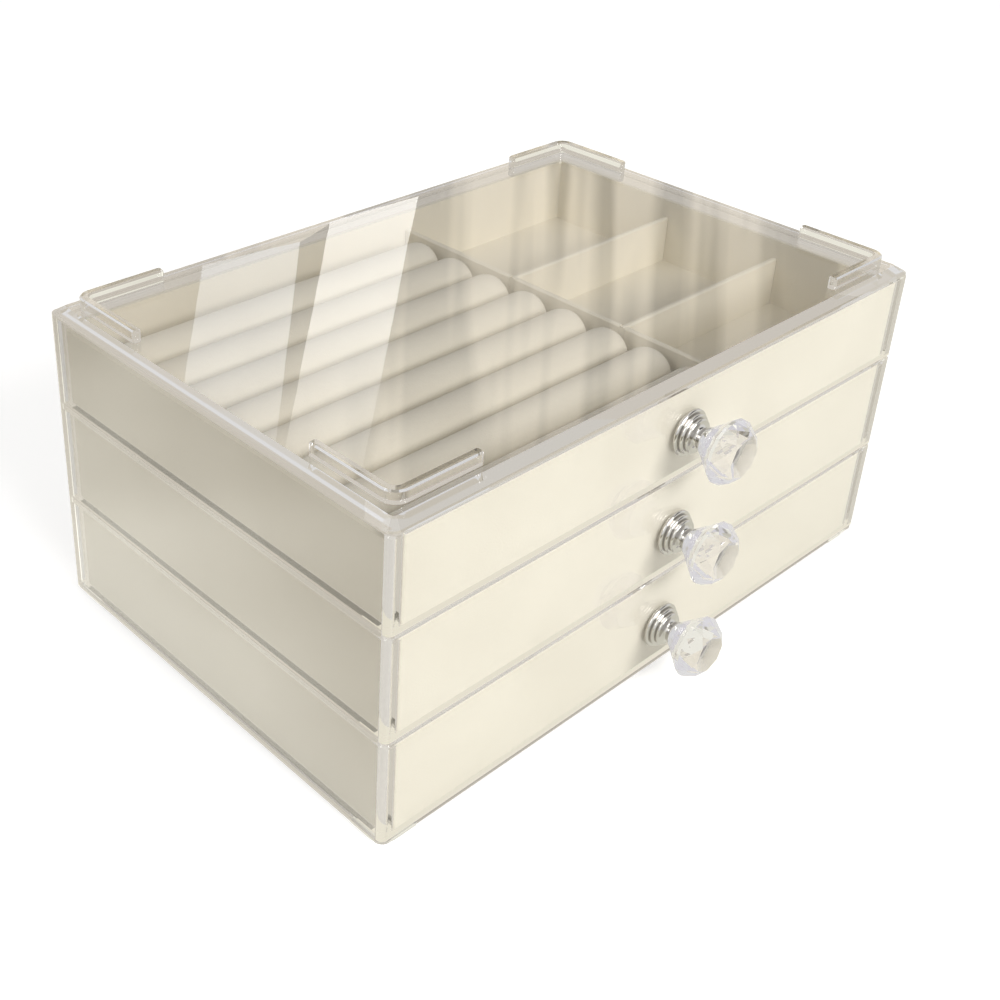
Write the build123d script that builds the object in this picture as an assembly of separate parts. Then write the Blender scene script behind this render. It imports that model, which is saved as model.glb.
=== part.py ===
from build123d import *
from math import cos, radians, sin
import os

# A clear jewellery box with three velvet-lined drawers. X runs from left to right,
# the drawers open towards -Y, and Z is up from the surface that the box stands on.
# All sizes are in millimetres.

# The case: its outside size, its walls and its lid.
WIDTH = 235.0
DEPTH = 155.0
BODY_HEIGHT = 106.0
CORNER_RADIUS = 3.0
WALL = 2.6
INNER_RADIUS = 1.2
BASE_THICKNESS = 1.6
BASE_CHAMFER = 1.0
LID_THICKNESS = 2.8
LID_EDGE = 0.5
BEVEL_WIDTH = 3.6
SHELF_THICKNESS = 2.0
SHELF_GROOVE = 0.8
SHELF_SETBACK = 4.6

# The corner feet, and the stacking ribs that hold the feet of a box on top.
FOOT_HEIGHT = 1.2
FOOT_WIDTH = 3.4
FOOT_ARM = 13.0
FOOT_INSET = 1.2
RIB_HEIGHT = 4.0
RIB_WIDTH = 3.0
RIB_INSET = 5.8
RIB_ARM_X = 31.5
RIB_ARM_Y = 32.5
RIB_BEND = 3.6
RIB_END_ROUNDING = 1.2
RIB_CHAMFER = 0.5

# Tongues and lips that locate the panels against each other.
TONGUE_WIDTH = 1.2
TONGUE_DEPTH = 0.8
LIP_WIDTH = 1.6
LIP_DEPTH = 1.2
LIP_SETBACK = 6.0
FIT = 0.05

# The drawers, one above another.
RUNNING_GAP = 0.3
SIDE_GAP = 0.4
TIER_PITCH = 35.3
FRONT_THICKNESS = 2.4
FRONT_HEIGHT = 34.7
UPPER_FRONT_HEIGHT = 30.4
FRONT_SIDE_ROUNDING = 2.2
FRONT_CHAMFER = 0.4
DRAWER_SIDE = 1.8
DRAWER_FLOOR = 1.2
DRAWER_BACK_GAP = 0.5
SIDE_HEIGHT = 32.1
UPPER_SIDE_HEIGHT = 28.9
DRAWER_RADIUS = 1.0

# The velvet-covered trays and their dividers.
TRAY_GAP = 0.2
TRAY_WALL = 1.6
TRAY_FLOOR = 1.4
TRAY_RADIUS = 1.6
VELVET_EDGE = 0.5
TRAY_HEIGHT = 30.2
UPPER_TRAY_HEIGHT = 23.8
TRAY_FRONT_DROP = 0.3
DIVIDER = 2.0
DIVIDER_FIT = 0.1
DIVIDER_HEIGHT = 26.0
UPPER_DIVIDER_HEIGHT = 17.4
GRID_ROWS = 4
GRID_COLUMNS = 6
LOWER_COLUMNS = 3

# The ring rolls of the upper drawer.
ROLLS = 8
ROLL_PITCH = 17.16
ROLL_GAP = 0.26
ROLL_HEIGHT = 19.2
ROLL_LENGTH = 133.6
ROLL_SETBACK = 0.3
ROLL_END_CHAMFER = 1.8
PARTITION_X = 27.2
FRONT_DIVIDER_Y = -30.6
REAR_DIVIDER_Y = 17.5

# The knobs: sizes along the knob run outwards from the drawer front.
KNOB_HEIGHT = 14.7
FLANGE_RADIUS = 7.9
FLANGE_DEPTH = 1.4
STEP_RADIUS = 6.8
STEP_DEPTH = 2.8
RING_RADIUS = 5.8
RING_DEPTH = 4.0
NECK_RADIUS = 4.1
NECK_DEPTH = 6.6
KNOB_CHAMFER = 0.35
BORE_RADIUS = 2.05
BORE_DEPTH = 6.0
CULET_RADIUS = 4.0
GIRDLE_RADIUS = 10.2
GIRDLE_START = 14.2
GIRDLE_END = 15.2
TABLE_RADIUS = 6.4
KNOB_LENGTH = 19.6
BEZEL_SHARE = 0.52

# The screw that holds each knob from inside its drawer.
SCREW_RADIUS = 1.95
SCREW_REACH = 5.6
SCREW_HOLE_RADIUS = 2.2
HEAD_RADIUS = 4.0
HEAD_THICKNESS = 1.5
HEAD_HOLE_RADIUS = 4.5

# Levels and faces that follow from the sizes above.
FRONT = -DEPTH / 2
BACK = DEPTH / 2
SIDE = WIDTH / 2
BASE_TOP = FOOT_HEIGHT + BASE_THICKNESS
LID_TOP = FOOT_HEIGHT + BODY_HEIGHT
LID_BOTTOM = LID_TOP - LID_THICKNESS
FRONT_INSIDE = FRONT + FRONT_THICKNESS
WALL_FRONT = FRONT_INSIDE + RUNNING_GAP
DRAWER_HALF_WIDTH = SIDE - WALL - SIDE_GAP
DRAWER_REAR = BACK - WALL - DRAWER_BACK_GAP
TRAY_HALF_WIDTH = DRAWER_HALF_WIDTH - DRAWER_SIDE - TRAY_GAP
TRAY_FRONT = FRONT_INSIDE + TRAY_GAP
TRAY_REAR = DRAWER_REAR - DRAWER_SIDE - TRAY_GAP
LINING_HALF_WIDTH = TRAY_HALF_WIDTH - TRAY_WALL
LINING_FRONT = TRAY_FRONT + TRAY_WALL
LINING_REAR = TRAY_REAR - TRAY_WALL
LOWER_LEVEL = BASE_TOP + RUNNING_GAP
MIDDLE_LEVEL = LOWER_LEVEL + TIER_PITCH
UPPER_LEVEL = MIDDLE_LEVEL + TIER_PITCH
LINING_RISE = DRAWER_FLOOR + TRAY_FLOOR


def between(x0, x1, y0, y1, z0, z1):
    """Block that fills the space between two corners."""
    block = Box(x1 - x0, y1 - y0, z1 - z0)
    return Pos((x0 + x1) / 2, (y0 + y1) / 2, (z0 + z1) / 2) * block


def four_corners(piece):
    """The piece and its mirror images in the other three corners of the box."""
    right = piece + mirror(piece, Plane.YZ)
    return right + mirror(right, Plane.XZ)


def rounded_block(half_width, y0, y1, z0, z1, radius):
    """Block with rounded upright edges, centred on the middle of the box in X."""
    outline = RectangleRounded(2 * half_width, y1 - y0, radius)
    return Pos(0, (y0 + y1) / 2, z0) * extrude(outline, z1 - z0)


def wall_outline(inset):
    """Plan of the case drawn in by an inset, running on past the front of the box."""
    front = FRONT - CORNER_RADIUS
    rear = BACK - inset
    radius = max(CORNER_RADIUS - inset, INNER_RADIUS)
    return Pos(0, (front + rear) / 2) * RectangleRounded(WIDTH - 2 * inset, rear - front, radius)


def three_sided_band(inset, thickness, front):
    """Plan of a band along the left, rear and right sides, open at the front."""
    band = wall_outline(inset) - wall_outline(inset + thickness)
    return band & Pos(0, (front + BACK) / 2) * Rectangle(WIDTH, BACK - front)


def corner_bar(inset, width, arm_x, arm_y, bend):
    """Plan of a bent bar in the corner at +X and -Y."""
    x = SIDE - inset - width / 2
    y = FRONT + inset + width / 2
    end_x = SIDE - inset - arm_x
    end_y = FRONT + inset + arm_y
    line = FilletPolyline((end_x, y), (x, y), (x, end_y), radius=bend)
    return trace(line, line_width=width)


def base_panel():
    """Floor of the case, with a groove for the walls and a foot in each corner."""
    panel = rounded_block(SIDE, FRONT, BACK, FOOT_HEIGHT, BASE_TOP, CORNER_RADIUS)
    panel = chamfer(panel.faces().sort_by(Axis.Z)[0].edges(), BASE_CHAMFER)
    tongue_inset = (WALL - TONGUE_WIDTH) / 2
    groove = three_sided_band(tongue_inset - FIT, TONGUE_WIDTH + 2 * FIT, WALL_FRONT)
    panel -= Pos(0, 0, BASE_TOP - TONGUE_DEPTH) * extrude(groove, TONGUE_DEPTH)
    foot = extrude(corner_bar(FOOT_INSET, FOOT_WIDTH, FOOT_ARM, FOOT_ARM, RIB_BEND), FOOT_HEIGHT)
    return panel + four_corners(foot)


def shelf_plate(level, grown):
    """Plate under a drawer at this level, or its groove when it is grown a little."""
    reach = SHELF_GROOVE - FIT + grown
    front = FRONT + SHELF_SETBACK - grown * SHELF_SETBACK / FIT
    top = level - RUNNING_GAP
    rear = BACK - WALL + reach
    return rounded_block(SIDE - WALL + reach, front, rear, top - SHELF_THICKNESS, top, INNER_RADIUS)


def case_shell():
    """Left, rear and right walls in one piece, grooved inside for the two shelves."""
    height = LID_BOTTOM - BASE_TOP
    shell = Pos(0, 0, BASE_TOP) * extrude(three_sided_band(0, WALL, WALL_FRONT), height)
    tongue = three_sided_band((WALL - TONGUE_WIDTH) / 2, TONGUE_WIDTH, WALL_FRONT + FIT)
    shell += Pos(0, 0, BASE_TOP - TONGUE_DEPTH) * extrude(tongue, TONGUE_DEPTH)
    return shell - shelf_plate(MIDDLE_LEVEL, FIT) - shelf_plate(UPPER_LEVEL, FIT)


def top_cover():
    """Lid with a bevelled edge, a locating lip below and four stacking ribs above."""
    outline = RectangleRounded(WIDTH, DEPTH, CORNER_RADIUS)
    raised = RectangleRounded(WIDTH - 2 * BEVEL_WIDTH, DEPTH - 2 * BEVEL_WIDTH, INNER_RADIUS)
    lid = Pos(0, 0, LID_BOTTOM) * extrude(outline, LID_EDGE)
    bevel_start = Pos(0, 0, LID_BOTTOM + LID_EDGE) * outline
    lid += loft([bevel_start.face(), (Pos(0, 0, LID_TOP) * raised).face()])
    lip = three_sided_band(WALL + FIT, LIP_WIDTH, FRONT + LIP_SETBACK)
    lid += Pos(0, 0, LID_BOTTOM - LIP_DEPTH) * extrude(lip, LIP_DEPTH)
    plan = corner_bar(RIB_INSET, RIB_WIDTH, RIB_ARM_X, RIB_ARM_Y, RIB_BEND)
    corners = plan.vertices()
    ends = corners.group_by(Axis.X)[0] + corners.group_by(Axis.Y)[-1]
    rib = extrude(fillet(ends, RIB_END_ROUNDING), RIB_HEIGHT)
    rib = chamfer(rib.faces().sort_by(Axis.Z)[-1].edges(), RIB_CHAMFER)
    return lid + Pos(0, 0, LID_TOP) * four_corners(rib)


def front_axis(level, y):
    """Plane across the knob's axis at a given depth, facing out of the drawer front."""
    return Plane((0, y, level + KNOB_HEIGHT), x_dir=(1, 0, 0), z_dir=(0, -1, 0))


def drawer(level, front_height, side_height):
    """Clear drawer in one piece with its overlapping front, open at the top."""
    panel = between(-SIDE, SIDE, FRONT, FRONT_INSIDE, level, level + front_height)
    uprights = panel.edges().filter_by(Axis.Z).group_by(Axis.Y)[0]
    panel = fillet(uprights, FRONT_SIDE_ROUNDING)
    panel = chamfer(panel.faces().sort_by(Axis.Y)[0].edges(), FRONT_CHAMFER)
    box = rounded_block(DRAWER_HALF_WIDTH, FRONT_INSIDE - 2 * DRAWER_RADIUS, DRAWER_REAR,
                        level, level + side_height, DRAWER_RADIUS + DRAWER_SIDE)
    box &= between(-SIDE, SIDE, FRONT_INSIDE, BACK, level, level + side_height)
    hollow = rounded_block(DRAWER_HALF_WIDTH - DRAWER_SIDE, FRONT_INSIDE, DRAWER_REAR - DRAWER_SIDE,
                           level + DRAWER_FLOOR, level + side_height, DRAWER_RADIUS)
    hole = front_axis(level, FRONT_INSIDE) * Cylinder(SCREW_HOLE_RADIUS, 4 * FRONT_THICKNESS)
    return panel + (box - hollow) - hole


def tray(level, wall_height, front_height):
    """Velvet-covered tray whose front wall lines the whole drawer front."""
    bottom = level + DRAWER_FLOOR
    rim = bottom + TRAY_FLOOR + wall_height
    front_rim = level + front_height - TRAY_FRONT_DROP
    body = rounded_block(TRAY_HALF_WIDTH, TRAY_FRONT, TRAY_REAR, bottom, front_rim, TRAY_RADIUS)
    body -= between(-SIDE, SIDE, LINING_FRONT, BACK, rim, front_rim + RUNNING_GAP)
    inner_radius = TRAY_RADIUS / 2
    body -= rounded_block(LINING_HALF_WIDTH, LINING_FRONT, LINING_REAR,
                          bottom + TRAY_FLOOR, front_rim, inner_radius)
    for upper_face in body.faces().filter_by(Axis.Z).group_by(Axis.Z)[-1]:
        body = chamfer(upper_face.edges().filter_by(Axis.X), VELVET_EDGE)
    hole = front_axis(level, TRAY_FRONT) * Cylinder(HEAD_HOLE_RADIUS, 4 * TRAY_WALL)
    return body - hole


def ring_roll(number):
    """Foam roll with a rounded top; rings are held in the slits between the rolls."""
    y = LINING_FRONT + (number - 0.5) * ROLL_PITCH
    radius = (ROLL_PITCH - ROLL_GAP) / 2
    shoulder = ROLL_HEIGHT - radius
    profile = Pos(0, shoulder / 2) * Rectangle(2 * radius, shoulder) + Pos(0, shoulder) * Circle(radius)
    roll = extrude(Plane.YZ * profile, ROLL_LENGTH)
    ends = roll.edges().filter_by(GeomType.CIRCLE)
    ends += roll.edges().filter_by(Axis.Z)
    roll = chamfer(ends, ROLL_END_CHAMFER)
    return Pos(ROLL_SETBACK - LINING_HALF_WIDTH, y, UPPER_LEVEL + LINING_RISE) * roll


def divider(x0, x1, y0, y1, level, height):
    """Velvet-covered strip standing on a tray floor, with its upper edge eased."""
    bottom = level + LINING_RISE
    strip = between(x0, x1, y0, y1, bottom, bottom + height)
    along = Axis.X if x1 - x0 > y1 - y0 else Axis.Y
    return chamfer(strip.faces().sort_by(Axis.Z)[-1].edges().filter_by(along), VELVET_EDGE)


def slots(strip, centres, along_x, from_top, level, height):
    """The strip with a half-height slot at each place where another strip crosses it."""
    middle = level + LINING_RISE + height / 2
    z0, z1 = (middle - DIVIDER_FIT, LID_TOP) if from_top else (0, middle + DIVIDER_FIT)
    half = DIVIDER / 2 + DIVIDER_FIT
    for centre in centres:
        if along_x:
            strip -= between(centre - half, centre + half, FRONT, BACK, z0, z1)
        else:
            strip -= between(-SIDE, SIDE, centre - half, centre + half, z0, z1)
    return strip


def long_divider(y, level, height, crossings):
    """Strip across the whole tray in X, slotted from above."""
    end = LINING_HALF_WIDTH - DIVIDER_FIT
    strip = divider(-end, end, y - DIVIDER / 2, y + DIVIDER / 2, level, height)
    return slots(strip, crossings, True, True, level, height)


def cross_divider(x, y0, y1, level, height, crossings):
    """Strip that runs from front to rear, slotted from below."""
    strip = divider(x - DIVIDER / 2, x + DIVIDER / 2, y0, y1, level, height)
    return slots(strip, crossings, False, False, level, height)


def evenly(low, high, cells):
    """Centres of the dividers that cut a span into equal cells."""
    cell = (high - low - (cells - 1) * DIVIDER) / cells
    return [low + k * cell + (k - 0.5) * DIVIDER for k in range(1, cells)]


def upper_partition():
    """Strip between the rolls and the compartments, notched for the two dividers."""
    half = DIVIDER / 2
    y0 = LINING_FRONT + DIVIDER_FIT
    y1 = LINING_REAR - DIVIDER_FIT
    strip = divider(PARTITION_X - half, PARTITION_X + half, y0, y1, UPPER_LEVEL, UPPER_DIVIDER_HEIGHT)
    places = [FRONT_DIVIDER_Y, REAR_DIVIDER_Y]
    return slots(strip, places, False, True, UPPER_LEVEL, UPPER_DIVIDER_HEIGHT)


def upper_divider(y):
    """Strip between two compartments, hooked over the partition at its left end."""
    half = DIVIDER / 2
    x1 = LINING_HALF_WIDTH - DIVIDER_FIT
    strip = divider(PARTITION_X - half, x1, y - half, y + half, UPPER_LEVEL, UPPER_DIVIDER_HEIGHT)
    return slots(strip, [PARTITION_X], True, False, UPPER_LEVEL, UPPER_DIVIDER_HEIGHT)


def knob_base(level):
    """Turned knob foot: three stepped rings, and a neck that carries the crystal."""
    rings = [(FLANGE_RADIUS, 0), (FLANGE_RADIUS, FLANGE_DEPTH), (STEP_RADIUS, FLANGE_DEPTH),
             (STEP_RADIUS, STEP_DEPTH), (RING_RADIUS, STEP_DEPTH), (RING_RADIUS, RING_DEPTH)]
    neck = [(NECK_RADIUS, RING_DEPTH), (NECK_RADIUS, NECK_DEPTH)]
    bore = [(0, NECK_DEPTH), (0, BORE_DEPTH), (BORE_RADIUS, BORE_DEPTH), (BORE_RADIUS, 0)]
    half_section = make_face(Polyline(*rings, *neck, *bore, close=True))
    corners = [half_section.vertices().sort_by_distance((*rim, 0))[0] for rim in (rings[1], rings[-1])]
    half_section = chamfer(corners, KNOB_CHAMFER)
    return front_axis(level, FRONT) * revolve(Plane.XZ * half_section, Axis.Z)


def ring_point(radius, height, sixteenth):
    """Point of the crystal on a circle about its axis, counted in sixteenths of a turn."""
    angle = radians(22.5 * sixteenth)
    return (radius * cos(angle), radius * sin(angle), height)


def knob_crystal(level):
    """Round crystal in a brilliant cut: table, stars, kites, girdle and pointed pavilion."""
    kite_radius = TABLE_RADIUS + BEZEL_SHARE * (GIRDLE_RADIUS - TABLE_RADIUS)
    crown = KNOB_LENGTH - GIRDLE_END
    inner = kite_radius * cos(radians(22.5))
    fall = (inner - TABLE_RADIUS) / (GIRDLE_RADIUS - TABLE_RADIUS)
    kite_height = KNOB_LENGTH - crown * fall
    table = [ring_point(TABLE_RADIUS, KNOB_LENGTH, 2 * k) for k in range(8)]
    tips = [ring_point(kite_radius, kite_height, 2 * k + 1) for k in range(8)]
    upper = [ring_point(GIRDLE_RADIUS, GIRDLE_END, k) for k in range(16)]
    lower = [ring_point(GIRDLE_RADIUS, GIRDLE_START, k) for k in range(16)]
    culet = [ring_point(CULET_RADIUS, NECK_DEPTH, 2 * k + 1) for k in range(8)]
    facets = [table, culet]
    for k in range(8):
        after = (k + 1) % 8
        facets.append([table[k], tips[k], table[after]])
        facets.append([table[k], tips[k - 1], upper[2 * k], tips[k]])
        facets.append([tips[k], upper[2 * k], upper[2 * k + 1]])
        facets.append([tips[k], upper[2 * k + 1], upper[2 * after]])
        facets.append([culet[k - 1], culet[k], lower[2 * k]])
        facets.append([culet[k], lower[2 * k], lower[2 * k + 1]])
        facets.append([culet[k], lower[2 * k + 1], lower[2 * after]])
    for k in range(16):
        following = (k + 1) % 16
        facets.append([lower[k], lower[following], upper[following], upper[k]])
    faces = [Face(Wire.make_polygon(facet, close=True)) for facet in facets]
    return front_axis(level, FRONT) * Solid(Shell(faces))


def knob_screw(level):
    """Screw with a flat head, from the inside of the drawer front into the knob."""
    head = Pos(0, 0, -HEAD_THICKNESS / 2) * Cylinder(HEAD_RADIUS, HEAD_THICKNESS)
    length = FRONT_THICKNESS + SCREW_REACH
    shank = Pos(0, 0, length / 2) * Cylinder(SCREW_RADIUS, length)
    return front_axis(level, FRONT_INSIDE) * (head + shank)


def lower_pieces():
    """Dividers of the lower drawer: one long strip, and two short ones in front of it."""
    middle = (LINING_FRONT + LINING_REAR) / 2
    columns = evenly(-LINING_HALF_WIDTH, LINING_HALF_WIDTH, LOWER_COLUMNS)
    half = DIVIDER / 2
    pieces = {"lower_long_divider": long_divider(middle, LOWER_LEVEL, DIVIDER_HEIGHT, columns)}
    for name, x in zip(("lower_left_divider", "lower_right_divider"), columns):
        y0 = LINING_FRONT + DIVIDER_FIT
        pieces[name] = cross_divider(x, y0, middle + half, LOWER_LEVEL, DIVIDER_HEIGHT, [middle])
    return pieces


def middle_pieces():
    """Dividers of the middle drawer: an egg-crate grid of small cells."""
    rows = evenly(LINING_FRONT, LINING_REAR, GRID_ROWS)
    columns = evenly(-LINING_HALF_WIDTH, LINING_HALF_WIDTH, GRID_COLUMNS)
    y0 = LINING_FRONT + DIVIDER_FIT
    y1 = LINING_REAR - DIVIDER_FIT
    pieces = {}
    for number, y in enumerate(rows, 1):
        name = f"middle_row_divider_{number}"
        pieces[name] = long_divider(y, MIDDLE_LEVEL, DIVIDER_HEIGHT, columns)
    for number, x in enumerate(columns, 1):
        name = f"middle_column_divider_{number}"
        pieces[name] = cross_divider(x, y0, y1, MIDDLE_LEVEL, DIVIDER_HEIGHT, rows)
    return pieces


def upper_pieces():
    """Ring rolls, partition and dividers of the upper drawer."""
    pieces = {f"ring_roll_{number}": ring_roll(number) for number in range(1, ROLLS + 1)}
    pieces["upper_partition"] = upper_partition()
    pieces["upper_front_divider"] = upper_divider(FRONT_DIVIDER_Y)
    pieces["upper_rear_divider"] = upper_divider(REAR_DIVIDER_Y)
    return pieces


def all_pieces():
    """Every piece of the box by its name."""
    pieces = {
        "base_panel": base_panel(),
        "case_shell": case_shell(),
        "lower_shelf": shelf_plate(MIDDLE_LEVEL, 0),
        "upper_shelf": shelf_plate(UPPER_LEVEL, 0),
        "top_cover": top_cover(),
    }
    tiers = {
        "lower": (LOWER_LEVEL, FRONT_HEIGHT, SIDE_HEIGHT, TRAY_HEIGHT),
        "middle": (MIDDLE_LEVEL, FRONT_HEIGHT, SIDE_HEIGHT, TRAY_HEIGHT),
        "upper": (UPPER_LEVEL, UPPER_FRONT_HEIGHT, UPPER_SIDE_HEIGHT, UPPER_TRAY_HEIGHT),
    }
    for tier, (level, front_height, side_height, tray_height) in tiers.items():
        pieces[f"{tier}_drawer"] = drawer(level, front_height, side_height)
        pieces[f"{tier}_tray"] = tray(level, tray_height, front_height)
        pieces[f"{tier}_knob_base"] = knob_base(level)
        pieces[f"{tier}_knob_crystal"] = knob_crystal(level)
        pieces[f"{tier}_knob_screw"] = knob_screw(level)
    pieces.update(lower_pieces())
    pieces.update(middle_pieces())
    pieces.update(upper_pieces())
    return pieces


os.makedirs("parts", exist_ok=True)
for name, shape in all_pieces().items():
    export_step(shape, f"parts/{name}.step")
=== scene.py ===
import math

import bpy
import numpy as np
from mathutils import Matrix, Vector


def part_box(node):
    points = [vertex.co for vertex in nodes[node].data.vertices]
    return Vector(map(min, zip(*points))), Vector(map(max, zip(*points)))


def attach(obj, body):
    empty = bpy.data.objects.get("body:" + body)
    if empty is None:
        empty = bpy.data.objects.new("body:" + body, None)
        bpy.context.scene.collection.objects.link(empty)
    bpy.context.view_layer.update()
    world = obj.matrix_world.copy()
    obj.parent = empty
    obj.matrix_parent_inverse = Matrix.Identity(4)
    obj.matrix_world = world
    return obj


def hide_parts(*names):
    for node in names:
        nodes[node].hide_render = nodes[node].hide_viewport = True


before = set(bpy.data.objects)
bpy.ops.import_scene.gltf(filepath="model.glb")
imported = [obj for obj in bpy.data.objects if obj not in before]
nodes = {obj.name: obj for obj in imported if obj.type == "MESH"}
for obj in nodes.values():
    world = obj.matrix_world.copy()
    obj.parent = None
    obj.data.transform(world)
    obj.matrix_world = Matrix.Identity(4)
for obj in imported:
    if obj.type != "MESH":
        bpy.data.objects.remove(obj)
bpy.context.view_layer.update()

# The view. The box is seen from its front left corner, a little above the lid,
# with the lens and its small shift worked out from the straight edges of the case.
azimuth, elevation, roll = (math.radians(angle) for angle in (-43.03, 29.26, 1.59))
back = Vector((math.sin(azimuth) * math.cos(elevation), -math.cos(azimuth) * math.cos(elevation),
               math.sin(elevation)))
level_right = (-back).cross(Vector((0, 0, 1))).normalized()
level_up = level_right.cross(-back)
right = math.cos(roll) * level_right + math.sin(roll) * level_up
up = math.cos(roll) * level_up - math.sin(roll) * level_right
eye = (-0.3089, -0.2769, 0.3011)
view = bpy.data.cameras.new("view")
view.sensor_width = 36.0
view.lens = 51.44
view.shift_x = 0.12
view.shift_y = -0.116
view.clip_start = 0.01
camera = bpy.data.objects.new("view", view)
camera.matrix_world = Matrix.Translation(eye) @ Matrix((right, up, back)).transposed().to_4x4()
bpy.context.scene.collection.objects.link(camera)
bpy.context.scene.camera = camera
bpy.context.scene.view_settings.view_transform = "Standard"


# The table. A plain white sweep under and behind the box, which shows as white
# and keeps a soft shadow under the feet.
def new_material(name):
    """An empty node material, its node tree and its Principled shader."""
    made = bpy.data.materials.new(name)
    made.use_nodes = True
    tree = made.node_tree
    return made, tree, tree.nodes["Principled BSDF"]


def put(tree, value, socket):
    """Feeds a socket from another node's output, or sets it to a plain value."""
    if isinstance(value, bpy.types.NodeSocket):
        tree.links.new(value, socket)
    else:
        socket.default_value = value


def show(tree, look):
    """Makes a shader the surface of its material."""
    tree.links.new(look, tree.nodes["Material Output"].inputs["Surface"])


def maths(tree, operation, first, second, clamp=False):
    """A step of arithmetic on outputs or plain numbers."""
    step = tree.nodes.new("ShaderNodeMath")
    step.operation = operation
    step.use_clamp = clamp
    put(tree, first, step.inputs[0])
    put(tree, second, step.inputs[1])
    return step.outputs[0]


def mapped(tree, value, low, high, start=0.0, end=1.0):
    """A value taken from the range start to end into the range low to high."""
    rescale = tree.nodes.new("ShaderNodeMapRange")
    labels = ("Value", "From Min", "From Max", "To Min", "To Max")
    for label, amount in zip(labels, (value, start, end, low, high)):
        put(tree, amount, rescale.inputs[label])
    return rescale.outputs[0]


def noise(tree, place, **settings):
    """Soft noise about 0.5 at a place, with its scale, detail, roughness or distortion."""
    pattern = tree.nodes.new("ShaderNodeTexNoise")
    put(tree, place, pattern.inputs["Vector"])
    for label, amount in settings.items():
        put(tree, amount, pattern.inputs[label.title()])
    return pattern.outputs[0]


def own_place(tree):
    """The shaded point in the piece's own coordinates."""
    return tree.nodes.new("ShaderNodeTexCoord").outputs["Object"]


def axes(tree, place):
    """The X, Y and Z of a place."""
    split = tree.nodes.new("ShaderNodeSeparateXYZ")
    tree.links.new(place, split.inputs[0])
    return split.outputs


def ray(tree, label):
    """What the light path says of the ray, such as whether it is a glossy one."""
    return tree.nodes.new("ShaderNodeLightPath").outputs[label]


def deeper_than(tree, turns):
    """1 for rays that have met more than so many surfaces, else 0."""
    return maths(tree, "GREATER_THAN", ray(tree, "Ray Depth"), turns + 0.5)


def seen_as_backdrop(tree):
    """1 for camera, glossy and transmission rays, which see the plain background, else 0."""
    first = maths(tree, "MAXIMUM", ray(tree, "Is Camera Ray"), ray(tree, "Is Glossy Ray"))
    return maths(tree, "MAXIMUM", first, ray(tree, "Is Transmission Ray"))


def mix_looks(tree, factor, first, second):
    """The first shader where the factor is 0, the second where it is 1."""
    blend = tree.nodes.new("ShaderNodeMixShader")
    for look, socket in zip((factor, first, second), blend.inputs):
        put(tree, look, socket)
    return blend.outputs[0]


def mix_tones(tree, factor, first, second):
    """The first colour where the factor is 0, the second where it is 1."""
    blend = tree.nodes.new("ShaderNodeMix")
    blend.data_type = "RGBA"
    for label, tone in zip(("Factor", "A", "B"), (factor, first, second)):
        put(tree, tone, blend.inputs[label])
    return blend.outputs["Result"]


def glow(tree, colour, strength=1.0):
    """A shader that only shines."""
    shine = tree.nodes.new("ShaderNodeEmission")
    put(tree, colour, shine.inputs["Color"])
    put(tree, strength, shine.inputs["Strength"])
    return shine.outputs[0]


table_half = 3.0
table_corners = [(-table_half, -table_half, 0), (table_half, -table_half, 0),
                 (table_half, table_half, 0), (-table_half, table_half, 0)]
table_mesh = bpy.data.meshes.new("table")
table_mesh.from_pydata(table_corners, [], [(0, 1, 2, 3)])
table = bpy.data.objects.new("table", table_mesh)
bpy.context.scene.collection.objects.link(table)
table_white, table_tree, table_shader = new_material("table_white")
table_shader.inputs["Base Color"].default_value = (0.82, 0.82, 0.82, 1)
table_shader.inputs["Roughness"].default_value = 0.9
table_shader.inputs["Specular IOR Level"].default_value = 0.0
table_shader.inputs["Emission Color"].default_value = (1, 1, 1, 1)
lift = mapped(table_tree, seen_as_backdrop(table_tree), 0.22, 0.5)
fall = mapped(table_tree, deeper_than(table_tree, 2), 1.0, 0.2)
put(table_tree, maths(table_tree, "MULTIPLY", lift, fall), table_shader.inputs["Emission Strength"])

# In the polished left wall the table shows as cream near the box and as soft olive
# blotches that darken away from it. Only rays that come almost straight from a
# polished face see it so, and less brightly once it lies in front of the box.
olive, cream = (0.28, 0.26, 0.19, 1), (1.4, 1.38, 1.22, 1)
olive_from, cream_from = -0.24, -0.125
full_until, weaker_from = -0.121, -0.115
table_place = own_place(table_tree)
table_x = axes(table_tree, table_place)[0]
nearness = mapped(table_tree, table_x, 0.0, 1.0, olive_from, cream_from)
blotches = noise(table_tree, table_place, scale=9.0, detail=1.0)
patchy = mapped(table_tree, blotches, -0.25, 0.25, 0.35, 0.65)
creaminess = maths(table_tree, "ADD", nearness, patchy, clamp=True)
mirrored_strength = mapped(table_tree, table_x, 1.0, 0.62, full_until, weaker_from)
mirrored_table = glow(table_tree, mix_tones(table_tree, creaminess, olive, cream), mirrored_strength)
mirrored_early = maths(table_tree, "SUBTRACT", ray(table_tree, "Is Glossy Ray"),
                       deeper_than(table_tree, 3), clamp=True)
show(table_tree, mix_looks(table_tree, mirrored_early, table_shader.outputs[0], mirrored_table))
table.data.materials.append(table_white)

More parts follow.
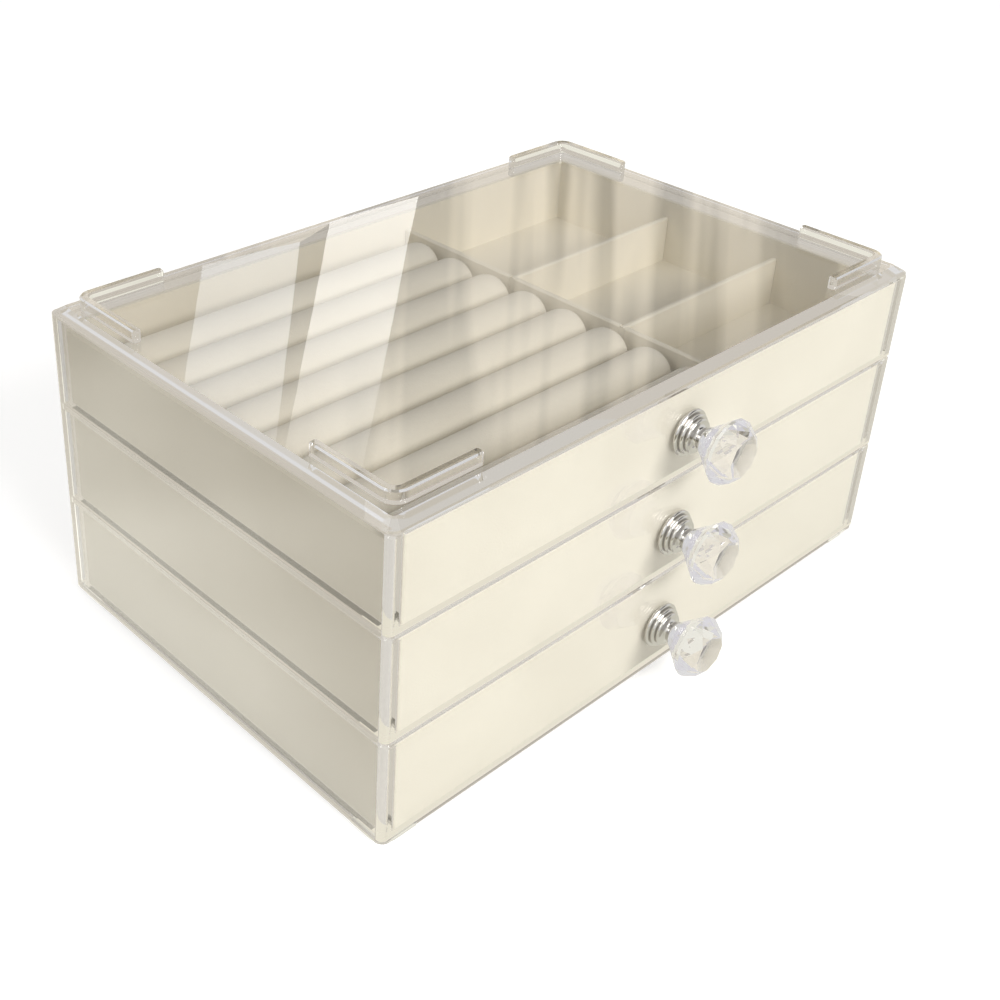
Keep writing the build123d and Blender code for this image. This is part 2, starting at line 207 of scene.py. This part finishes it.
# The light. A pale even room, a large soft lamp in front, and two weaker ones high
# behind and on the left, so that the front is the brightest side and the left is in shade.
world = bpy.data.worlds.new("room")
world.use_nodes = True
bpy.context.scene.world = world
room_tree = world.node_tree
room_light = room_tree.nodes["Background"]
room_light.inputs["Color"].default_value = (1.0, 0.985, 0.96, 1)
room_light.inputs["Strength"].default_value = 0.36
room_seen = room_tree.nodes.new("ShaderNodeBackground")
room_seen.inputs["Color"].default_value = (1, 1, 1, 1)
put(room_tree, mapped(room_tree, deeper_than(room_tree, 2), 1.0, 0.74), room_seen.inputs["Strength"])
room_look = mix_looks(room_tree, seen_as_backdrop(room_tree), room_light.outputs[0], room_seen.outputs[0])
room_tree.links.new(room_look, room_tree.nodes["World Output"].inputs[0])


def soft_lamp(name, place, target, width, height, watts):
    """A rectangular lamp at a place, turned so that it shines at a target."""
    lamp = bpy.data.lights.new(name, "AREA")
    lamp.shape = "RECTANGLE"
    lamp.size, lamp.size_y = width, height
    lamp.energy = watts
    holder = bpy.data.objects.new(name, lamp)
    aim = (Vector(target) - Vector(place)).to_track_quat("-Z", "Y")
    holder.matrix_world = Matrix.Translation(place) @ aim.to_matrix().to_4x4()
    holder.visible_camera = holder.visible_transmission = False
    bpy.context.scene.collection.objects.link(holder)


box_middle = (0.0, 0.0, 0.06)
soft_lamp("front_lamp", (0.0, -2.1, 1.25), box_middle, 1.2, 0.9, 40.0)
soft_lamp("rear_lamp", (-0.35, 0.8, 1.6), box_middle, 0.9, 0.7, 3.0)
soft_lamp("left_lamp", (-1.5, 0.1, 1.1), box_middle, 0.8, 0.8, 6.5)

# The far side of the room, which only the glossy surfaces see. It is a dull brown
# wall with upright folds and two bright panes, and it shows as slanting bands in the lid.
wall_aim = Vector((0.62, 0.66, 0.43)).normalized()
wall_right = wall_aim.cross(Vector((0, 0, 1))).normalized()
wall_up = wall_right.cross(wall_aim)
wall_distance, wall_half_width, wall_half_height = 1.7, 1.3, 0.62
wall_middle = Vector((0.05, 0.0, 0.107)) + wall_distance * wall_aim


def reflected_card(name, corners, material):
    """A flat card given by its corners, seen by glossy rays only."""
    card_mesh = bpy.data.meshes.new(name)
    card_mesh.from_pydata([tuple(corner) for corner in corners], [], [(0, 1, 2, 3)])
    card_uv = card_mesh.uv_layers.new(name="card")
    card_uv.data.foreach_set("uv", np.array([0, 0, 1, 0, 1, 1, 0, 1], dtype=np.float32))
    card = bpy.data.objects.new(name, card_mesh)
    card_mesh.materials.append(material)
    bpy.context.scene.collection.objects.link(card)
    card.visible_camera = card.visible_diffuse = card.visible_transmission = card.visible_shadow = False


def card_material(name):
    """A card's material without a surface yet, its node tree and the card's own coordinates."""
    made, tree, shader = new_material(name)
    tree.nodes.remove(shader)
    place = tree.nodes.new("ShaderNodeUVMap")
    place.uv_map = "card"
    return made, tree, place.outputs[0]


def plain_when_deep(tree, look):
    """The look of a card, but plain pale grey to rays that have turned inside the
    plastic, so that the edges of the plastic stay pale."""
    return mix_looks(tree, deeper_than(tree, 1), look, glow(tree, (0.71, 0.675, 0.64, 1)))


dull_brown = (0.62, 0.56, 0.46, 1)
fold_count, fold_slant = 34.0, 0.16
wall_paint, wall_tree, wall_place = card_material("far_wall")
folds_map = wall_tree.nodes.new("ShaderNodeMapping")
folds_map.inputs["Scale"].default_value = (fold_count, 1.0, 1.0)
folds_map.inputs["Rotation"].default_value = (0.0, 0.0, fold_slant)
wall_tree.links.new(wall_place, folds_map.inputs["Vector"])
folds = noise(wall_tree, folds_map.outputs[0], scale=1.0, detail=2.0)
fold_light = mapped(wall_tree, folds, 0.05, 2.3, 0.46, 0.56)
left_haze = mapped(wall_tree, axes(wall_tree, wall_place)[0], 1.3, 0.0, 0.33, 0.41)
wall_glow = glow(wall_tree, dull_brown, maths(wall_tree, "ADD", fold_light, left_haze))
show(wall_tree, plain_when_deep(wall_tree, wall_glow))
reflected_card("far_wall", [wall_middle + a * wall_half_width * wall_right + b * wall_half_height * wall_up
                            for a, b in ((-1, -1), (1, -1), (1, 1), (-1, 1))], wall_paint)


def window_light(name, colour, strength):
    """Light of a window part that fades out towards its upper end."""
    made, tree, place = card_material(name)
    nothing = tree.nodes.new("ShaderNodeBsdfTransparent").outputs[0]
    fade = mapped(tree, axes(tree, place)[1], 0.0, 1.0, 0.4, 1.0)
    show(tree, mix_looks(tree, fade, plain_when_deep(tree, glow(tree, colour, strength)), nothing))
    return made


# each edge of the window from its lower to its upper end
window_edges = [((0.699, 1.156, 0.714), (0.550, 1.072, 1.053)),
                ((0.812, 1.089, 0.687), (0.658, 0.978, 1.040)),
                ((0.864, 1.088, 0.671), (0.708, 1.016, 1.015)),
                ((0.963, 1.02, 0.638), (0.786, 0.942, 1.031))]
window_parts = [("left_pane", (0.96, 0.98, 1.0, 1), 2.1), ("window_bar", (0.5, 0.45, 0.38, 1), 0.1),
                ("right_pane", (1.0, 0.99, 0.96, 1), 3.0)]
for (name, colour, strength), near, far in zip(window_parts, window_edges, window_edges[1:]):
    reflected_card(name, [near[0], far[0], far[1], near[1]], window_light(name, colour, strength))

# A dark screen high in front to the right, also seen by glossy rays only, which draws
# dark lines on the turned rings and dark facets in the crystals.
screen_corners = [(0.35, -0.9, 0.55), (1.05, -0.35, 0.5), (0.95, -0.2, 1.15), (0.3, -0.75, 1.2)]
screen_paint, screen_tree, _ = card_material("dark_screen")
show(screen_tree, plain_when_deep(screen_tree, glow(screen_tree, (0.05, 0.045, 0.045, 1))))
reflected_card("dark_screen", screen_corners, screen_paint)


# The clear case. Thin walls, floor, shelves and lid of moulded clear plastic, polished,
# with slight flow waves in the surface and a faint warm tint. The walls stand in the
# floor's groove, the shelves in grooves of the walls, and the lid is cemented on top.
def effect_group(name, inputs, outputs):
    """A shader node group with named inputs (name, kind, value) and outputs (name, kind)."""
    group = bpy.data.node_groups.new(name, "ShaderNodeTree")
    for label, kind, value in inputs:
        socket = group.interface.new_socket(label, in_out="INPUT", socket_type=kind)
        socket.default_value = value
    for label, kind in outputs:
        group.interface.new_socket(label, in_out="OUTPUT", socket_type=kind)
    return group, group.nodes.new("NodeGroupInput").outputs, group.nodes.new("NodeGroupOutput").inputs


def bumps(tree, height, strength, distance):
    """The surface direction changed by a height pattern."""
    bump = tree.nodes.new("ShaderNodeBump")
    bump.inputs["Distance"].default_value = distance
    put(tree, strength, bump.inputs["Strength"])
    put(tree, height, bump.inputs["Height"])
    return bump.outputs[0]


moulded, moulded_in, moulded_out = effect_group(
    "moulded_surface",
    [("Wave Scale", "NodeSocketFloat", 18.0), ("Wave Strength", "NodeSocketFloat", 0.03),
     ("Least Roughness", "NodeSocketFloat", 0.0), ("Most Roughness", "NodeSocketFloat", 0.05)],
    [("Roughness", "NodeSocketFloat"), ("Normal", "NodeSocketVector")])
moulded_place = own_place(moulded)
waves = noise(moulded, moulded_place, scale=moulded_in["Wave Scale"], detail=1.0, roughness=0.4)
wear = noise(moulded, moulded_place, scale=55.0, detail=4.0)
put(moulded, mapped(moulded, wear, moulded_in["Least Roughness"], moulded_in["Most Roughness"], 0.42, 0.75),
    moulded_out["Roughness"])
put(moulded, bumps(moulded, waves, moulded_in["Wave Strength"], 0.002), moulded_out["Normal"])


def moulded_finish(tree, shader, wavy, settings):
    """Gives a shader the moulded surface's wear, and its flow waves if it is wavy."""
    surface = tree.nodes.new("ShaderNodeGroup")
    surface.node_tree = moulded
    for label, value in settings.items():
        surface.inputs[label].default_value = value
    for label in ("Roughness", "Normal") if wavy else ("Roughness",):
        tree.links.new(surface.outputs[label], shader.inputs[label])


def clear_plastic(name, tint, waves_deep, most_rough):
    """Clear plastic with a tint: its material, its node tree and its look. Rays that are trapped
    between its faces mostly end in a painted pale glow, which stands in for the light that gathers in its
    edges."""
    made, tree, shader = new_material(name)
    shader.inputs["Base Color"].default_value = (*tint, 1)
    shader.inputs["Transmission Weight"].default_value = 1.0
    shader.inputs["IOR"].default_value = 1.49
    moulded_finish(tree, shader, True, {"Wave Strength": waves_deep, "Most Roughness": most_rough})
    straight_on = tree.nodes.new("ShaderNodeBsdfTransparent").outputs[0]
    # a painted pale glow, partly see-through, for the light that gathers in the plastic's edges
    painted_edge_glow = mix_looks(tree, 0.35, glow(tree, (0.59, 0.55, 0.475, 1)), straight_on)
    return made, tree, mix_looks(tree, deeper_than(tree, 3), shader.outputs[0], painted_edge_glow)


def lamps_shine_through(tree, look, shadow_tint):
    """Shows a look, but lets lamps and bounced light through with a tint, so that what
    the plastic covers is lit."""
    unlit = maths(tree, "MAXIMUM", ray(tree, "Is Shadow Ray"), ray(tree, "Is Diffuse Ray"))
    lets_through = tree.nodes.new("ShaderNodeBsdfTransparent")
    lets_through.inputs["Color"].default_value = (*shadow_tint, 1)
    show(tree, mix_looks(tree, unlit, look, lets_through.outputs[0]))


def finish_with(names, finish):
    """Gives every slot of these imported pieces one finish."""
    for name in names:
        for place in nodes[name].material_slots:
            place.material = finish


case_plastic, case_tree, case_look = clear_plastic("case_plastic", (0.965, 0.955, 0.945), 0.02, 0.05)
lamps_shine_through(case_tree, case_look, (0.9, 0.895, 0.885))
finish_with(["case_shell", "base_panel", "lower_shelf", "upper_shelf"], case_plastic)
lid_plastic, lid_tree, lid_look = clear_plastic("lid_plastic", (0.965, 0.955, 0.95), 0.03, 0.03)
lamps_shine_through(lid_tree, lid_look, (0.83, 0.825, 0.815))
finish_with(["top_cover"], lid_plastic)

# The three drawers. Each is one clear moulding, a box with a broad flat front
# that overlaps the case walls and stands a hair away from its neighbours.
tiers = ("lower", "middle", "upper")
lowest_level, tier_pitch = 0.003, 0.0353
skin_depth = 0.0005
front_reach, corner_reach, corner_from = -0.0715, -0.066, 0.111
drawer_plastic, drawer_tree, drawer_look = clear_plastic("drawer_plastic", (0.97, 0.965, 0.965), 0.02, 0.04)

# Rays that come down inside a front onto its lower edge would see the lit lining again, so the underside
# close to the front, and a little further
#  back at its corners, gets a painted glow in the lit velvet's tone instead of its own shade, at every tier.
drawer_x, drawer_y, drawer_z = axes(drawer_tree, own_place(drawer_tree))
above_level = maths(drawer_tree, "MODULO", maths(drawer_tree, "SUBTRACT", drawer_z, lowest_level), tier_pitch)
from_middle = maths(drawer_tree, "ABSOLUTE", drawer_x, 0.0)
corner = maths(drawer_tree, "MULTIPLY", maths(drawer_tree, "GREATER_THAN", from_middle, corner_from),
               maths(drawer_tree, "LESS_THAN", drawer_y, corner_reach))
seen_early = maths(drawer_tree, "SUBTRACT", 1.0, deeper_than(drawer_tree, 2))
near_front = maths(drawer_tree, "MAXIMUM", maths(drawer_tree, "LESS_THAN", drawer_y, front_reach),
                   maths(drawer_tree, "MULTIPLY", corner, seen_early))
underside = maths(drawer_tree, "MULTIPLY", maths(drawer_tree, "LESS_THAN", above_level, skin_depth),
                  near_front)
lower_edge = maths(drawer_tree, "MULTIPLY", underside, deeper_than(drawer_tree, 0))
# painted glow in the tone of the lit lining, shown on the underside near the fronts
painted_lining_glow = glow(drawer_tree, (0.8, 0.755, 0.63, 1))
lamps_shine_through(drawer_tree, mix_looks(drawer_tree, lower_edge, drawer_look, painted_lining_glow),
                    (0.95, 0.95, 0.945))
finish_with([f"{tier}_drawer" for tier in tiers], drawer_plastic)

# The trays and their dividers. Card covered with short off-white velvet, whose
# nap catches the light in soft patches and is paler where it is brushed.
velvet_nap, nap_in, nap_out = effect_group(
    "velvet_nap",
    [("Light Colour", "NodeSocketColor", (0.9, 0.86, 0.74, 1)),
     ("Dark Colour", "NodeSocketColor", (0.8, 0.75, 0.62, 1)),
     ("Pile Depth", "NodeSocketFloat", 0.25)],
    [("Colour", "NodeSocketColor"), ("Normal", "NodeSocketVector")])
nap_place = own_place(velvet_nap)
brushed = noise(velvet_nap, nap_place, scale=22.0, detail=3.0, distortion=0.6)
fibres = noise(velvet_nap, nap_place, scale=1600.0, detail=2.0)
fibre_share = 0.35
brushed_fibres = maths(velvet_nap, "ADD", maths(velvet_nap, "MULTIPLY", fibres, fibre_share), brushed)
nap_shade = mapped(velvet_nap, brushed_fibres, 0.0, 1.0, 0.45, 0.9)
put(velvet_nap, mix_tones(velvet_nap, nap_shade, nap_in["Dark Colour"], nap_in["Light Colour"]),
    nap_out["Colour"])
put(velvet_nap, bumps(velvet_nap, fibres, nap_in["Pile Depth"], 0.0004), nap_out["Normal"])


def velvet(name, light, dark, pile_depth):
    """Short velvet: rough, with a soft sheen and the nap's two tones."""
    made, tree, shader = new_material(name)
    shader.inputs["Roughness"].default_value = 0.95
    shader.inputs["Specular IOR Level"].default_value = 0.15
    shader.inputs["Sheen Weight"].default_value = 0.25
    shader.inputs["Sheen Roughness"].default_value = 0.5
    shader.inputs["Sheen Tint"].default_value = (1.0, 0.97, 0.9, 1)
    nap = tree.nodes.new("ShaderNodeGroup")
    nap.node_tree = velvet_nap
    nap.inputs["Light Colour"].default_value = (*light, 1)
    nap.inputs["Dark Colour"].default_value = (*dark, 1)
    nap.inputs["Pile Depth"].default_value = pile_depth
    tree.links.new(nap.outputs["Colour"], shader.inputs["Base Color"])
    tree.links.new(nap.outputs["Normal"], shader.inputs["Normal"])
    return made, tree, shader, nap.outputs["Colour"]


tray_velvet, tray_tree, tray_shader, tray_nap = velvet(
    "tray_velvet", (0.92, 0.87, 0.735), (0.86, 0.81, 0.68), 0.2)
# the rim of the upper drawer's front lining gets painted shade, darker than the nap, for the shadow under the
# lid's front edge
rim_painted_shade = (0.36, 0.32, 0.26, 1)
rim_from, rim_top = 0.103, 0.1035
at_rim = mapped(tray_tree, axes(tray_tree, own_place(tray_tree))[2], 0.0, 1.0, rim_from, rim_top)
put(tray_tree, mix_tones(tray_tree, at_rim, tray_nap, rim_painted_shade), tray_shader.inputs["Base Color"])
dividers = ["upper_partition", "upper_front_divider", "upper_rear_divider", "lower_long_divider",
            "lower_left_divider", "lower_right_divider"]
dividers += [f"middle_row_divider_{k}" for k in (1, 2, 3)]
dividers += [f"middle_column_divider_{k}" for k in (1, 2, 3, 4, 5)]
finish_with([f"{tier}_tray" for tier in tiers] + dividers, tray_velvet)


# The eight ring rolls. Each is a strip of foam with a half-round top, wrapped in
# the same velvet, softly domed at its ends and pressed against its neighbours.
def grid_mesh(name, surface):
    """Mesh of a surface given as rows of points round a closed loop, with its ends closed."""
    rows, around = surface.shape[:2]
    index = np.arange(rows * around).reshape(rows, around)
    here, there = index[:-1], index[1:]
    faces = np.stack([here, np.roll(here, -1, 1), np.roll(there, -1, 1), there], -1).reshape(-1, 4).tolist()
    faces += [index[0][::-1].tolist(), index[-1].tolist()]
    mesh = bpy.data.meshes.new(name)
    mesh.from_pydata(surface.reshape(-1, 3).tolist(), [], faces)
    mesh.shade_smooth()
    return mesh


dome_length = 0.0056
dome_shrink = 0.42
side_power = 0.28
swell_height, short_wave, long_wave = 0.006, 0.047, 0.11
section_points, dome_rows, straight_rows = 96, 10, 60


def roll_surface(low, high, seed):
    """Rows of a roll from its left to its right end. The section is a half circle on straight
    sides; near the ends it shrinks along a quarter circle towards its middle, and slow waves
    with a seeded phase swell it a little along its length."""
    around = np.linspace(0, 2 * np.pi, section_points, endpoint=False)
    length, half_width = high[0] - low[0], (high[1] - low[1]) / 2
    centre_z = high[2] - half_width
    # a superellipse below and a circle above, joined at the shoulder
    below = np.sin(around) < 0
    across = np.sign(np.cos(around)) * np.abs(np.cos(around)) ** np.where(below, side_power, 1.0)
    rise = np.where(below, -np.abs(np.sin(around)) ** side_power * (centre_z - low[2]),
                    np.sin(around) * half_width)
    dome_rise = dome_length * (1 - np.cos(np.linspace(0.0, np.pi / 2, dome_rows)))
    along = np.concatenate([dome_rise, np.linspace(dome_length, length - dome_length, straight_rows)[1:-1],
                            length - dome_rise[::-1]])
    from_end = np.minimum(along, length - along)
    into_dome = np.clip(1 - from_end / dome_length, 0, 1)
    drawn_in = 1 - dome_shrink * (1 - np.sqrt(1 - into_dome ** 2))
    phase = np.random.default_rng(seed).uniform(0, 2 * np.pi, 3)
    swell = 1 - swell_height + swell_height * (np.sin(2 * np.pi * along / short_wave + phase[0])
                                               * np.sin(2 * np.pi * along / long_wave + phase[1]))
    scale = (drawn_in * swell)[:, None]
    middle_z = (low[2] + high[2]) / 2
    x = np.broadcast_to(low[0] + along[:, None], (len(along), len(around)))
    y = (low[1] + high[1]) / 2 + half_width * across[None, :] * scale
    z = middle_z + (centre_z + rise[None, :] - middle_z) * scale
    z = np.where(from_end[:, None] > dome_length, np.maximum(z, low[2]), z)
    return np.stack([x, y, z], -1)


roll_velvet = velvet("roll_velvet", (0.92, 0.875, 0.75), (0.85, 0.8, 0.68), 0.3)[0]
for number in range(1, 9):
    node = f"ring_roll_{number}"
    low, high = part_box(node)
    mesh = grid_mesh(f"soft_{node}", roll_surface(low, high, number))
    roll_piece = bpy.data.objects.new(f"soft_{node}", mesh)
    bpy.context.scene.collection.objects.link(roll_piece)
    mesh.materials.append(roll_velvet)
    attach(roll_piece, "upper_sliding_drawer")
    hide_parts(node)

# The knobs. A turned and plated foot of three stepped rings, a cut crystal
# cemented on its neck, and a screw from inside the drawer that holds both.
plated, plated_tree, plated_shader = new_material("plated_metal")
plated_shader.inputs["Base Color"].default_value = (0.63, 0.615, 0.59, 1)
plated_shader.inputs["Metallic"].default_value = 1.0
moulded_finish(plated_tree, plated_shader, False, {"Least Roughness": 0.06, "Most Roughness": 0.16})
finish_with([f"{tier}_knob_base" for tier in tiers], plated)

# each ring of the foot in millimetres: its two depths from the drawer front and its rim
rings = ((0.0, 1.4, 7.5), (1.4, 2.8, 6.5), (2.8, 4.0, 5.5))
neck_depth, waist_radius, cup_radius, waist_place = 6.6, 3.2, 4.0, 0.4
bore_depth, bore_radius = 6.0, 2.05
centre_radius = 0.3


def knob_profile():
    """Half section of the turned foot, as depth from the drawer front and radius: from the tip
    over a waist and three rings with half-round rims to the back, and up the screw hole. Each
    rim is a half circle that starts and ends a little inside the ring's two faces."""
    cut = 0.35
    arc = np.linspace(cut, np.pi - cut, 14)
    points = [(0.0, bore_radius)]
    for start, end, rim in rings:
        bead = (end - start) / 2
        points += [(start, rim - 0.6 * bead)]
        points += list(zip(start + bead * (1 - np.cos(arc) / np.cos(cut)), rim - bead + bead * np.sin(arc)))
        points += [(end, rim - 0.75 * bead)]
    # the waist is narrowest two fifths of the way along and widens to both sides
    along = np.linspace(0, 1, 16)
    before, after = 1 - along / waist_place, (along - waist_place).clip(0) / (1 - waist_place)
    widening = np.where(along < waist_place, 1.1 * before ** 2, 0.9 * after ** 1.6)
    points += list(zip(rings[-1][1] + (neck_depth - rings[-1][1]) * along, waist_radius + widening))
    points += [(neck_depth, cup_radius), (neck_depth, centre_radius)]
    bore = [(0.02, bore_radius), (5.9, bore_radius), (bore_depth, bore_radius), (bore_depth, 1.9),
            (bore_depth, centre_radius)]
    return np.array(points[::-1] + bore) * 0.001


section = knob_profile()
depth, radius = section[:, :1], section[:, 1:]
turn = np.linspace(0, 2 * np.pi, 72, endpoint=False)
for tier in tiers:
    node = f"{tier}_knob_base"
    low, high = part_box(node)
    turned = np.stack([(low[0] + high[0]) / 2 + radius * np.cos(turn),
                       np.broadcast_to(high[1] - depth, (len(section), len(turn))),
                       (low[2] + high[2]) / 2 - radius * np.sin(turn)], -1)
    knob_foot = bpy.data.objects.new(f"turned_{node}", grid_mesh(f"turned_{node}", turned))
    bpy.context.scene.collection.objects.link(knob_foot)
    knob_foot.data.materials.append(plated)
    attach(knob_foot, f"{tier}_sliding_drawer")
    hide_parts(node)

# The crystals are clear with a hint of lilac. Rays that turn many times between the
#  facets mostly end in a painted pale glow, which stands in for light gathered in the crystal.
crystal, crystal_tree, crystal_shader = new_material("cut_crystal")
crystal_shader.inputs["Base Color"].default_value = (0.95, 0.945, 0.965, 1)
crystal_shader.inputs["Transmission Weight"].default_value = 1.0
crystal_shader.inputs["IOR"].default_value = 1.65
moulded_finish(crystal_tree, crystal_shader, True,
               {"Wave Scale": 150.0, "Wave Strength": 0.02, "Most Roughness": 0.01})
# share of the painted pale glow for rays deep inside the crystal
crystal_deep = mapped(crystal_tree, deeper_than(crystal_tree, 3), 0.0, 0.85)
show(crystal_tree, mix_looks(crystal_tree, crystal_deep, crystal_shader.outputs[0],
                             glow(crystal_tree, (0.7, 0.685, 0.715, 1))))
finish_with([f"{tier}_knob_crystal" for tier in tiers], crystal)

# The knob screws. Zinc-plated steel with a flat head, put in from inside the drawer
# through its front, and hidden by the knob and the lining.
steel, steel_tree, steel_shader = new_material("screw_steel")
steel_shader.inputs["Base Color"].default_value = (0.6, 0.6, 0.62, 1)
steel_shader.inputs["Metallic"].default_value = 1.0
moulded_finish(steel_tree, steel_shader, False, {"Least Roughness": 0.25, "Most Roughness": 0.45})
finish_with([f"{tier}_knob_screw" for tier in tiers], steel)

bpy.context.view_layer.update()
